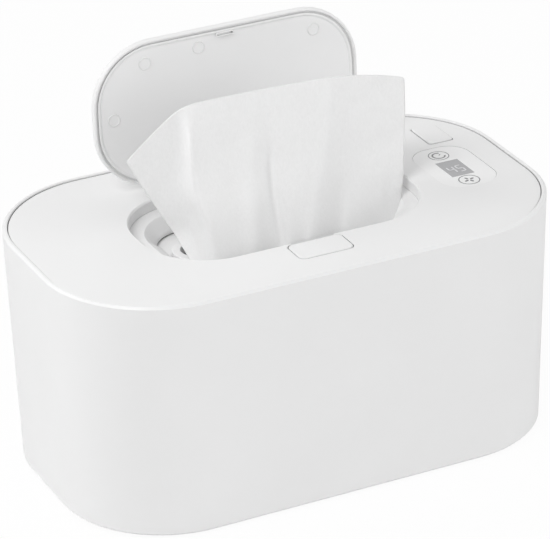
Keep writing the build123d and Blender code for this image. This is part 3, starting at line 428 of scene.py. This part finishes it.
def outwards(mesh):
    """The mesh with doubles merged, faces pointing outwards and smooth shading."""
    work = bmesh.new()
    work.from_mesh(mesh)
    bmesh.ops.remove_doubles(work, verts=work.verts, dist=same_point * mm)
    bmesh.ops.recalc_face_normals(work, faces=work.faces)
    work.to_mesh(mesh)
    work.free()
    mesh.shade_smooth()
    return mesh


def even_shading(piece):
    """Large flat faces keep their own direction beside the small faces of their rounded edges."""
    normals = piece.modifiers.new("normals", "WEIGHTED_NORMAL")
    normals.keep_sharp = False
    normals.weight = 60
    bake(piece)


def joined(name, meshes):
    """Several meshes as one."""
    work = bmesh.new()
    for mesh in meshes:
        work.from_mesh(mesh)
    whole = bpy.data.meshes.new(name)
    work.to_mesh(whole)
    work.free()
    whole.shade_smooth()
    return whole


def softened(name, node, body, material, edge, reshape=None):
    """A moulded piece from the node's own surface, with its sharp edges rounded."""
    work = bmesh.new()
    work.from_mesh(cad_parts[node].data)
    bmesh.ops.remove_doubles(work, verts=work.verts, dist=2 * same_point * mm)
    bmesh.ops.dissolve_limit(
        work, angle_limit=flat_angle, verts=work.verts, edges=work.edges, delimit=set())
    if reshape:
        reshape(work)
    for face in work.faces:
        face.smooth = True
    mesh = bpy.data.meshes.new(name)
    work.to_mesh(mesh)
    work.free()
    piece = new_piece(name, mesh, body, material)
    round_edges = piece.modifiers.new("edges", "BEVEL")
    round_edges.width = edge * mm
    round_edges.segments = 3
    round_edges.limit_method = "ANGLE"
    round_edges.angle_limit = sharp_angle
    round_edges.use_clamp_overlap = True
    round_edges.miter_outer = "MITER_ARC"
    even_shading(piece)
    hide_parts(node)


# ---------------------------------------------------------------- the wipe
# Listed points down the wipe, left side to right side, from its top edge to its foot in the bowl.
wipe_rows = [
    [(-65.9, 13, 144.8), (-54.3, 8.5, 157.9), (-45.6, 3.5, 167.7), (-40.4, 0, 171.4),
     (-33.6, 0, 171.9), (-17.8, 1, 171.2), (-7.4, 1.5, 170.8), (-0.9, 1.8, 170.5),
     (3.9, 0.6, 171), (12.7, -1.5, 171.6), (23.3, -4, 172.2), (30.5, -3.3, 171.1),
     (38.9, -2.4, 169.6), (52.2, -1.6, 166.7), (64.7, -1.2, 162.7)],
    [(-61, 12, 134.9), (-52.1, 7.5, 142), (-43.7, 3, 149.6), (-42.5, -4.5, 152.3),
     (-37.5, -3.5, 151.7), (-20.7, -0.5, 149.2), (-10.8, -0.3, 149.9), (-2.8, 1.2, 149),
     (1.4, -0.4, 149.6), (11.7, -2.5, 151.1), (23.8, -6, 153.7), (32.2, -3, 150.7),
     (41.6, -2.2, 148.4), (51.9, -1.7, 147.4), (64.5, -1.6, 144.6)],
    [(-54.7, 9, 122.6), (-47.6, 4, 126.9), (-44.2, 0.5, 132.4), (-42.3, -7, 134),
     (-35.8, -6.5, 133.3), (-21.3, -3.5, 130.7), (-12.5, -3.5, 131.7), (-2.7, 0.6, 128.8),
     (0.6, -2.8, 130.4), (10.1, -4.6, 131.9), (19.6, -7.6, 132.4), (31.1, -3.4, 128.2),
     (39.9, -2.9, 127.5), (49.7, -2.4, 127.6), (63.2, -2.3, 127)],
    [(-49.2, 2, 111), (-44.1, -2, 114), (-41.9, -5, 118.6), (-39.8, -13, 119.5),
     (-33.6, -12, 118.6), (-22.9, -10, 117.2), (-14.6, -10, 118.2), (-3.4, -5, 115.6),
     (0.5, -9.2, 117.4), (8, -10.2, 116.6), (14.8, -11.5, 118), (27.5, -7.8, 113.5),
     (34.6, -7.8, 113.9), (45.5, -7.2, 113.2), (60.5, -6, 111.2)],
    [(-47.5, -12.5, 102.6), (-43.8, -16, 102.2), (-43.3, -17, 102.5), (-40, -21, 103.9),
     (-33.6, -20, 102.9), (-25.8, -19, 102.6), (-18.4, -19, 102.8), (-6.7, -16, 101.3),
     (-2.7, -19, 103.1), (4.2, -19, 103.4), (8.7, -20, 103.7), (21.1, -17, 102),
     (27.9, -17.5, 102.2), (37.9, -17.5, 100.8), (51.1, -16.5, 100.3)],
    [(-43.5, -8, 103.4), (-41.5, -9.5, 103.4), (-40, -8, 103.4), (-37, -12.5, 103.4),
     (-34, -12, 103.4), (-22.5, -11, 103.4), (-14, -11, 103.4), (-7.5, -8, 103.4),
     (-3, -11.5, 103.4), (6.5, -11, 103.4), (16, -12, 103.4), (25.5, -8.5, 103.4),
     (29.5, -9.5, 103.4), (38, -9, 103.4), (49, -6, 104.2)],
    [(-41, 0, 101), (-39.5, -1, 101), (-37.5, 1, 101), (-34, -3, 101), (-31, -2, 101),
     (-21.5, -2, 101), (-13.5, -3, 101), (-7.5, 1.5, 101), (-3, -2.5, 101), (5.5, -2, 101),
     (14, -3, 101), (22, 1, 101), (26, -1, 101), (33, -1.5, 101), (39.5, 0, 101)],
    [(-40.4, 0, 90), (-38.9, -1, 90), (-36.9, 1, 90), (-33.5, -3, 90), (-30.5, -2, 90),
     (-21.2, -2, 90), (-13.3, -3, 90), (-7.4, 1.5, 90), (-3, -2.5, 90), (5.4, -2, 90),
     (13.8, -3, 90), (21.7, 1, 90), (25.6, -1, 90), (32.5, -1.5, 90), (38.9, 0, 90)],
]
wipe_thickness = 0.35
# How many steps the net takes from one given point to the next.
steps_across = 7
steps_down = 10
# The cloth's right end is crumpled: from this x on, fully so after this reach.
crumple_start = 34
crumple_reach = 18


def hermite(a, b, c, d, t):
    """A smooth curve through b and c that heads as its neighbours a and d ask."""
    square = (2 * a - 5 * b + 4 * c - d) * t * t
    cube = (3 * b - a - 3 * c + d) * t ** 3
    return 0.5 * (2 * b + (c - a) * t + square + cube)


def through(points, steps):
    """Points on one smooth line through all the given points."""
    ends = [points[0] * 2 - points[1]] + points + [points[-1] * 2 - points[-2]]
    line = []
    for i in range(len(points) - 1):
        line += [hermite(*ends[i:i + 4], t / steps) for t in range(steps)]
    return line + [points[-1]]


def unevenness(piece, name, patch, height, group=""):
    """Lifts and sinks the cloth over patches of this width, within this height in all."""
    clouds = bpy.data.textures.new(f"cloth_{name}", "CLOUDS")
    clouds.noise_scale = patch * mm
    clouds.noise_depth = 1
    uneven = piece.modifiers.new(name, "DISPLACE")
    uneven.texture = clouds
    uneven.texture_coords = "LOCAL"
    uneven.strength = height * mm
    uneven.mid_level = 0.5
    uneven.vertex_group = group


def wipe_net():
    """The wipe's mesh: a smooth net through the given rows."""
    rows = [through([Vector(p) * mm for p in row], steps_across) for row in wipe_rows]
    columns = [through([row[i] for row in rows], steps_down) for i in range(len(rows[0]))]
    high, wide = len(columns[0]), len(columns)
    verts = [columns[i][j] for j in range(high) for i in range(wide)]
    faces = [
        (j * wide + i, (j + 1) * wide + i, (j + 1) * wide + i + 1, j * wide + i + 1)
        for j in range(high - 1) for i in range(wide - 1)]
    mesh = bpy.data.meshes.new("wipe_cloth")
    mesh.from_pydata(verts, [], faces)
    mesh.shade_smooth()
    return mesh


def add_wipe(material):
    """One cloth with its wrinkles, and smaller puckers in its crumpled end."""
    mesh = wipe_net()
    piece = new_piece("wipe_cloth", mesh, "cover", material)
    crumpled = piece.vertex_groups.new(name="crumpled")
    for vertex in mesh.vertices:
        share = (vertex.co.x / mm - crumple_start) / crumple_reach
        crumpled.add([vertex.index], min(1, max(0, share)), "REPLACE")
    unevenness(piece, "wrinkles", patch=16, height=0.9)
    unevenness(piece, "puckers", patch=6, height=1.2, group="crumpled")
    smoothing = piece.modifiers.new("smooth", "SUBSURF")
    smoothing.levels = 1
    smoothing.render_levels = 1
    thick = piece.modifiers.new("thickness", "SOLIDIFY")
    thick.thickness = wipe_thickness * mm
    thick.offset = 0
    bake(piece)
    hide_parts("wipe_sheet")
    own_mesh(piece)


# ---------------------------------------------------------------- the lid
# Places on the lid are measured from its hinge line: along it, down the open lid, and out of its
# back. Sizes are a length, a width and a corner radius.
hinge_line = Vector((-1.0, 41.505, 107.4))
lid_angle = radians(91.6)
lid_size = (131.2, 69.66, 29.3)
lid_middle = -42.53
lid_back = 6.0
lid_band_face = 2.4
lid_band_width = 1.4
lid_skin_inside = 3.5
lining_face = 3.3
lug_size = (8.8, 2.1, 1.0)
lug_from_edge = 4.2
lug_wall = 0.5
lug_face = 2.3
knuckle_arm = 0.7
ejector_radius = 2.8
ejector_line = 0.28
# The marks' middles, as shares of the lid's length from its middle and of its width from its free
# edge.
ejector_shares = [(-0.425, 0.5), (-0.3, 0.157), (-0.098, 0.123), (0.339, 0.162)]
lid_place = Matrix.Translation(hinge_line) @ Matrix((
    (1, 0, 0), (0, cos(lid_angle), sin(lid_angle)), (0, -sin(lid_angle), cos(lid_angle)))).to_4x4()
lid_place_middle = lid_place @ Matrix.Translation((0, lid_middle, 0))


def add_lid_shell(material):
    """The lid's skin: a thin tray with softly rounded edges and a narrow band round its mouth."""
    section = filleted([
        (6, lid_back, 0), (0, lid_back, 1.1), (0, lid_band_face, 0.8),
        (lid_band_width, lid_band_face, 0.5), (lid_band_width, lid_skin_inside, 0.2),
        (6, lid_skin_inside, 0)])
    mesh = moulding("lid_outer", lid_place_middle, lid_size, section)
    piece = new_piece("lid_outer", mesh, "lid", material)
    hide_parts("lid_skin")
    even_shading(piece)


def knuckles_only(work):
    """Cuts the skin away and leaves the two hinge knuckles on the stubs of their arms."""
    cut = lid_place @ Vector((0, lid_middle + lid_size[1] / 2 - knuckle_arm, 0)) * mm
    along = lid_place.to_3x3() @ Vector((0, 1, 0))
    bmesh.ops.bisect_plane(
        work, geom=work.verts[:] + work.edges[:] + work.faces[:], plane_co=cut, plane_no=along,
        clear_inner=True)
    bmesh.ops.holes_fill(work, edges=[edge for edge in work.edges if edge.is_boundary])


def add_lid_lining(material):
    """The lid's lining: a smooth plate inside a raised bead, with the lug that the latch grips."""
    plate = filleted([
        (2.3, lid_skin_inside - 0.1, 0), (2.3, 2.7, 0.45), (3.2, 2.85, 0.6),
        (3.9, lining_face, 0.6), (8, lining_face, 0)])
    lug = filleted([
        (0.45, lining_face, 0), (0, lining_face - 0.2, 0.05), (0, lug_face, 0.22),
        (lug_wall, lug_face, 0.12), (lug_wall, lining_face, 0)])
    lug_middle = lid_middle - lid_size[1] / 2 + lug_from_edge
    lug_place = lid_place @ Matrix.Translation((0, lug_middle, 0))
    mesh = joined("lid_lining", [
        moulding("plate", lid_place_middle, lid_size, plate),
        moulding("lug", lug_place, lug_size, lug, ring=True)])
    piece = new_piece("lid_lining", mesh, "lid", material)
    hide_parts("lid_inner")
    even_shading(piece)


def ejector_ring_tree(material):
    """Geometry nodes: a fine ring, half sunk in the lining, round each of the given points."""
    tree = bpy.data.node_groups.new("ejector_rings", "GeometryNodeTree")
    tree.interface.new_socket("Places", in_out="INPUT", socket_type="NodeSocketGeometry")
    for name in ("Ring Radius", "Line Radius", "Tilt"):
        tree.interface.new_socket(name, in_out="INPUT", socket_type="NodeSocketFloat")
    tree.interface.new_socket("Rings", in_out="OUTPUT", socket_type="NodeSocketGeometry")
    given = add_node(tree, "NodeGroupInput")
    circle = add_node(tree, "GeometryNodeCurvePrimitiveCircle", {"Resolution": 40}, {
        "Radius": given.outputs["Ring Radius"]})
    line = add_node(tree, "GeometryNodeCurvePrimitiveCircle", {"Resolution": 8}, {
        "Radius": given.outputs["Line Radius"]})
    ring = add_node(tree, "GeometryNodeCurveToMesh", {}, {
        "Curve": circle.outputs["Curve"], "Profile Curve": line.outputs["Curve"]})
    turn = add_node(tree, "ShaderNodeCombineXYZ", {}, {"X": given.outputs["Tilt"]})
    copies = add_node(tree, "GeometryNodeInstanceOnPoints", {}, {
        "Points": given.outputs["Places"], "Instance": ring.outputs["Mesh"],
        "Rotation": turn.outputs["Vector"]})
    real = add_node(tree, "GeometryNodeRealizeInstances", {}, {
        "Geometry": copies.outputs["Instances"]})
    finished = add_node(tree, "GeometryNodeSetMaterial", {"Material": material}, {
        "Geometry": real.outputs["Geometry"]})
    add_node(tree, "NodeGroupOutput", {}, {"Rings": finished.outputs["Geometry"]})
    return tree


def add_ejector_rings(material):
    """The four round marks that the mould's ejector pins leave on the lining."""
    places = [lid_place @ Vector((
        x * lid_size[0], lid_middle + (y - 0.5) * lid_size[1], lining_face)) * mm
        for x, y in ejector_shares]
    mesh = bpy.data.meshes.new("ejector_rings")
    mesh.from_pydata(places, [], [])
    piece = placed("ejector_rings", mesh)
    nodes = piece.modifiers.new("rings", "NODES")
    nodes.node_group = ejector_ring_tree(material)
    sizes = {"Ring Radius": ejector_radius * mm, "Line Radius": ejector_line * mm,
             "Tilt": radians(180) - lid_angle}
    for socket in nodes.node_group.interface.items_tree:
        if socket.name in sizes:
            nodes[socket.identifier] = sizes[socket.name]
    bake(piece)
    piece.data.shade_smooth()
    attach(piece, "lid")


def add_spring(name, node):
    """A compression spring from its node's own surface, riding on the cover."""
    mesh = outwards(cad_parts[node].data.copy())
    piece = new_piece(name, mesh, "cover", bright_steel)
    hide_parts(node)
    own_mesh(piece)


# ---------------------------------------------------------------- the control panel
# Places on the panel are measured from its middle, and heights from the top of its film.
film_top = 113.3
panel_middle = Vector((90.0, -0.8))
print_thickness = 0.04
print_rise = 0.03
digit_rise = 0.05
display_middle = (-0.7, -1.7)
display_half = (5.65, 8.4)
digit_size = (2.6, 6.4)
digit_weight = 0.8
# A 4 and a 5: the segments that are lit, and the digit's middle from the display's.
digits = [("bcfg", (-2.1, -1.2)), ("acdfg", (2.2, -1.2))]
power_middle = Vector((-0.7, 13.8))
heat_middle = Vector((-1.0, -15.9))


def inlay(name, outlines, rise, material):
    """Flat prints in the panel's film, each with its own outline."""
    work = bmesh.new()
    for outline in outlines:
        low, high = [
            [work.verts.new(Vector((*(panel_middle + Vector(p)), level)) * mm) for p in outline]
            for level in (film_top + rise - print_thickness, film_top + rise)]
        work.faces.new(low)
        work.faces.new(high)
        for i in range(len(outline)):
            ahead = (i + 1) % len(outline)
            work.faces.new((low[i], low[ahead], high[ahead], high[i]))
    bmesh.ops.recalc_face_normals(work, faces=work.faces)
    mesh = bpy.data.meshes.new(name)
    work.to_mesh(mesh)
    work.free()
    new_piece(name, mesh, "cover", material)


def arc_band(middle, radius, width, start, end, steps=36):
    """The outline of a curved stroke between two angles, in degrees."""
    outer, inner = [], []
    for step in range(steps + 1):
        turn = radians(start + (end - start) * step / steps)
        way = Vector((cos(turn), sin(turn)))
        outer.append(Vector(middle) + way * (radius + width / 2))
        inner.append(Vector(middle) + way * (radius - width / 2))
    return outer + inner[::-1]


def stroke(start, end, width):
    """The outline of a straight stroke with pointed ends."""
    start, end = Vector(start), Vector(end)
    ahead = (end - start).normalized() * width / 2
    side = Vector((-ahead.y, ahead.x))
    return [start, start + ahead + side, end - ahead + side, end, end - ahead - side,
            start + ahead - side]


def digit_strokes(segments, x, y):
    """The named segments of a seven-segment digit that reads from the unit's front."""
    wide, tall = digit_size
    left, right, top, foot = x - wide / 2, x + wide / 2, y + tall / 2, y - tall / 2
    ends = {
        "a": ((left, top), (right, top)), "b": ((right, top), (right, y)),
        "c": ((right, y), (right, foot)), "d": ((left, foot), (right, foot)),
        "f": ((left, top), (left, y)), "g": ((left, y), (right, y))}
    return [stroke(*ends[segment], digit_weight) for segment in segments]


def round_symbol(middle, radius, width):
    """A printed circle, in two halves that stay simple outlines."""
    return [arc_band(middle, radius, width, 0, 178), arc_band(middle, radius, width, 180, 358)]


def power_symbol():
    """A circle round an open arc with a short stroke."""
    start, end = power_middle + Vector((0.3, 0.2)), power_middle + Vector((1.5, 1.4))
    return round_symbol(power_middle, radius=4.7, width=0.4) + [
        arc_band(power_middle, radius=2.9, width=0.75, start=60, end=345),
        stroke(start, end, width=0.5)]


def heat_symbol():
    """A circle round a cross of four strokes, turned a little."""
    ways = [Vector((cos(radians(turn)), sin(radians(turn)))) for turn in (20, 110, 200, 290)]
    return round_symbol(heat_middle, radius=4.75, width=0.5) + [
        stroke(heat_middle + way * 0.5, heat_middle + way * 2.9, width=1.1) for way in ways]


def add_panel_prints(window, pale_print, grey_print):
    """The display's window with two digits, and the two round touch symbols."""
    x, y = display_middle
    across, along = display_half
    corners = [(-1, -1), (1, -1), (1, 1), (-1, 1)]
    inlay("display_window", [[(x + i * across, y + j * along) for i, j in corners]],
          print_rise, window)
    strokes = [digit_strokes(segments, x + aside, y + up) for segments, (aside, up) in digits]
    inlay("display_digits", sum(strokes, []), digit_rise, pale_print)
    inlay("touch_symbols", power_symbol() + heat_symbol(), print_rise, grey_print)


# ---------------------------------------------------------------- the keys and the well
# How deep a key's cap and its top face reach, how much the top rises, and how much wider the gap
# gets on each side.
cap_depth = 1.5
cap_face_depth = 0.4
cap_rise = 0.4
cap_gap = 0.12
well_middle = (-1.0, -0.8)
well_size = (132.6, 72.01, 31.0)
# Rings of points round the well in the solids: each one's level, its inset from the well's wall and
# the slack it is found with. Then where the scene has them.
mouth_ring = (113.4, -1.6, 0.03)
wall_ring = (111.8, 0, 0.03)
bowl_ring = (99.9, 9.6, 0.3)
mouth_inset = -0.7
wall_level = 112.7
bowl_inset = 14.0
bowl_foot_radius = 4


def raised_key(work):
    """The key's cap stands a little prouder in a wider gap, so that a finger finds its edge."""
    top = max(vertex.co.z for vertex in work.verts)
    cap = [vertex for vertex in work.verts if vertex.co.z > top - cap_depth * mm]
    middle = [(min(v.co[i] for v in cap) + max(v.co[i] for v in cap)) / 2 for i in (0, 1)]
    for vertex in cap:
        for i in (0, 1):
            vertex.co[i] += cap_gap * mm if vertex.co[i] < middle[i] else -cap_gap * mm
        if vertex.co.z > top - cap_face_depth * mm:
            vertex.co.z += cap_rise * mm


def wall_offset(point):
    """The nearest place on the well's inner rectangle, and the way from there to the point."""
    length, width, radius = well_size
    core = Vector((length / 2 - radius, width / 2 - radius))
    offset = Vector((point.x, point.y)) - Vector(well_middle)
    nearest = Vector((max(-core.x, min(core.x, offset.x)), max(-core.y, min(core.y, offset.y))))
    return nearest, offset - nearest


def at_inset(point, inset):
    """The point moved straight out or in until it lies at this inset from the well's wall."""
    nearest, offset = wall_offset(point)
    return Vector(well_middle) + nearest + offset.normalized() * (well_size[2] - inset)


def on_ring(point, ring):
    """Whether a point lies on a ring round the well."""
    level, inset, slack = ring
    own_inset = well_size[2] - wall_offset(point)[1].length
    return abs(point.z - level) < 0.02 and abs(own_inset - inset) < slack


def narrow_mouth(work):
    """The well's mouth gets a small roll, and its bowl a round foot."""
    for vertex in work.verts:
        point = vertex.co / mm
        if on_ring(point, mouth_ring):
            point.xy = at_inset(point, mouth_inset)
        elif on_ring(point, wall_ring):
            point.z = wall_level
        elif on_ring(point, bowl_ring):
            point.xy = at_inset(point, bowl_inset)
        else:
            continue
        vertex.co = point * mm
    new_ring = (bowl_ring[0], bowl_inset, bowl_ring[2])
    foot = [edge for edge in work.edges if all(on_ring(v.co / mm, new_ring) for v in edge.verts)]
    bmesh.ops.bevel(work, geom=foot, offset=bowl_foot_radius * mm, offset_type="OFFSET", segments=7,
                    profile=0.5, affect="EDGES")


# ---------------------------------------------------------------- the whole object
add_camera()
add_world()
add_floor()
for lamp in lamps:
    add_light(*lamp)
bpy.context.scene.view_settings.view_transform = "Standard"

white_abs = moulded("satin_white_abs", "#EFEFEF", "#F2F2F2", 0.4)
lining_abs = moulded("lining_white_abs", "#F6F6F6", "#F9F9F9", 0.4)
acetal = moulded("natural_acetal", "#E9E8E2", "#EFEEE9", 0.35)
polypropylene = moulded(
    "polished_polypropylene", "#EEEEEC", "#F3F3F1", 0.28, grain=0.8, depth=0.003)
black_plastic = moulded("black_thermoplastic", "#1C1C1E", "#232326", 0.5)
textured_abs = moulded("textured_white_abs", "#EBEBEB", "#F0F0F0", 0.6, grain=0.8, depth=0.03)
overlay_film = moulded("printed_overlay_film", "#F3F3F3", "#F6F6F6", 0.3, grain=0.6, depth=0.004)
display_glass = moulded("grey_display_window", "#A6A6A8", "#ACACAE", 0.2, grain=2.0, depth=0.001)
pale_ink = moulded("pale_screen_print", "#D2D2D4", "#D8D8DA", 0.5, grain=1.0, depth=0.002)
grey_ink = moulded("grey_screen_print", "#7C7C7E", "#828284", 0.5, grain=1.0, depth=0.002)
silicone = soft_rubber("white_silicone", "#ECECEC", "#F2F2F2", 0.6)
grey_rubber = soft_rubber("grey_rubber", "#B8B8B8", "#C4C4C4", 0.8)
steel = bright_metal("zinc_plated_steel", "#C4C4C8", 0.32)
bright_steel = bright_metal("bright_steel", "#CCCCCE", 0.22)
gold = bright_metal("gold_plated_pin", "#D9B56A", 0.25)
cloth = nonwoven_cloth()
sleeve_foam = closed_cell_foam("closed_cell_foam", "#D6D6D2", "#E2E2DE")
pad_foam = closed_cell_foam("conductive_foam", "#3A3A3E", "#4A4A4F")
board = circuit_board()
film = polyimide_film()

# What every solid is made of. The scene's own pieces hide most of those that can be seen.
finishes = [
    (white_abs, "outer_shell top_cover cover_base lid_skin lid_button cover_button"),
    (lining_abs, "lid_inner"), (textured_abs, "base_plate"), (polypropylene, "inner_liner"),
    (black_plastic, "temperature_sensor thermal_cutout power_inlet contact_block"),
    (acetal, "lid_latch cover_catch"), (silicone, "slot_gate cover_seal"),
    (grey_rubber, "rubber_feet"), (steel, "base_screws cover_screws"),
    (bright_steel, "hinge_pins hinge_springs lid_latch_spring cover_catch_spring"),
    (gold, "contact_pins"), (board, "main_board display_board"), (film, "heating_film"),
    (overlay_film, "control_panel"), (display_glass, "display_module"),
    (sleeve_foam, "insulation_sleeve"), (pad_foam, "touch_pads"), (cloth, "wipe_stack wipe_sheet"),
]
finish_of = {name: material for material, names in finishes for name in names.split()}
for name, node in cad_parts.items():
    node.data.materials.clear()
    node.data.materials.append(finish_of[name])

softened("housing_shell", "outer_shell", "base", white_abs, 0.8)
softened("moulded_cover", "top_cover", "cover", white_abs, 0.45, narrow_mouth)
softened("gate_ring", "slot_gate", "cover", silicone, 0.8)
add_lid_shell(white_abs)
softened("lid_knuckles", "lid_skin", "lid", white_abs, 0.3, knuckles_only)
add_lid_lining(lining_abs)
add_ejector_rings(white_abs)
softened("lid_key", "lid_button", "lid_button", white_abs, 0.35, raised_key)
softened("cover_key", "cover_button", "cover_button", white_abs, 0.45, raised_key)
softened("panel_overlay", "control_panel", "cover", overlay_film, 0.1)
add_panel_prints(display_glass, pale_ink, grey_ink)
add_wipe(cloth)
add_spring("latch_coil", "lid_latch_spring")
add_spring("catch_coil", "cover_catch_spring")
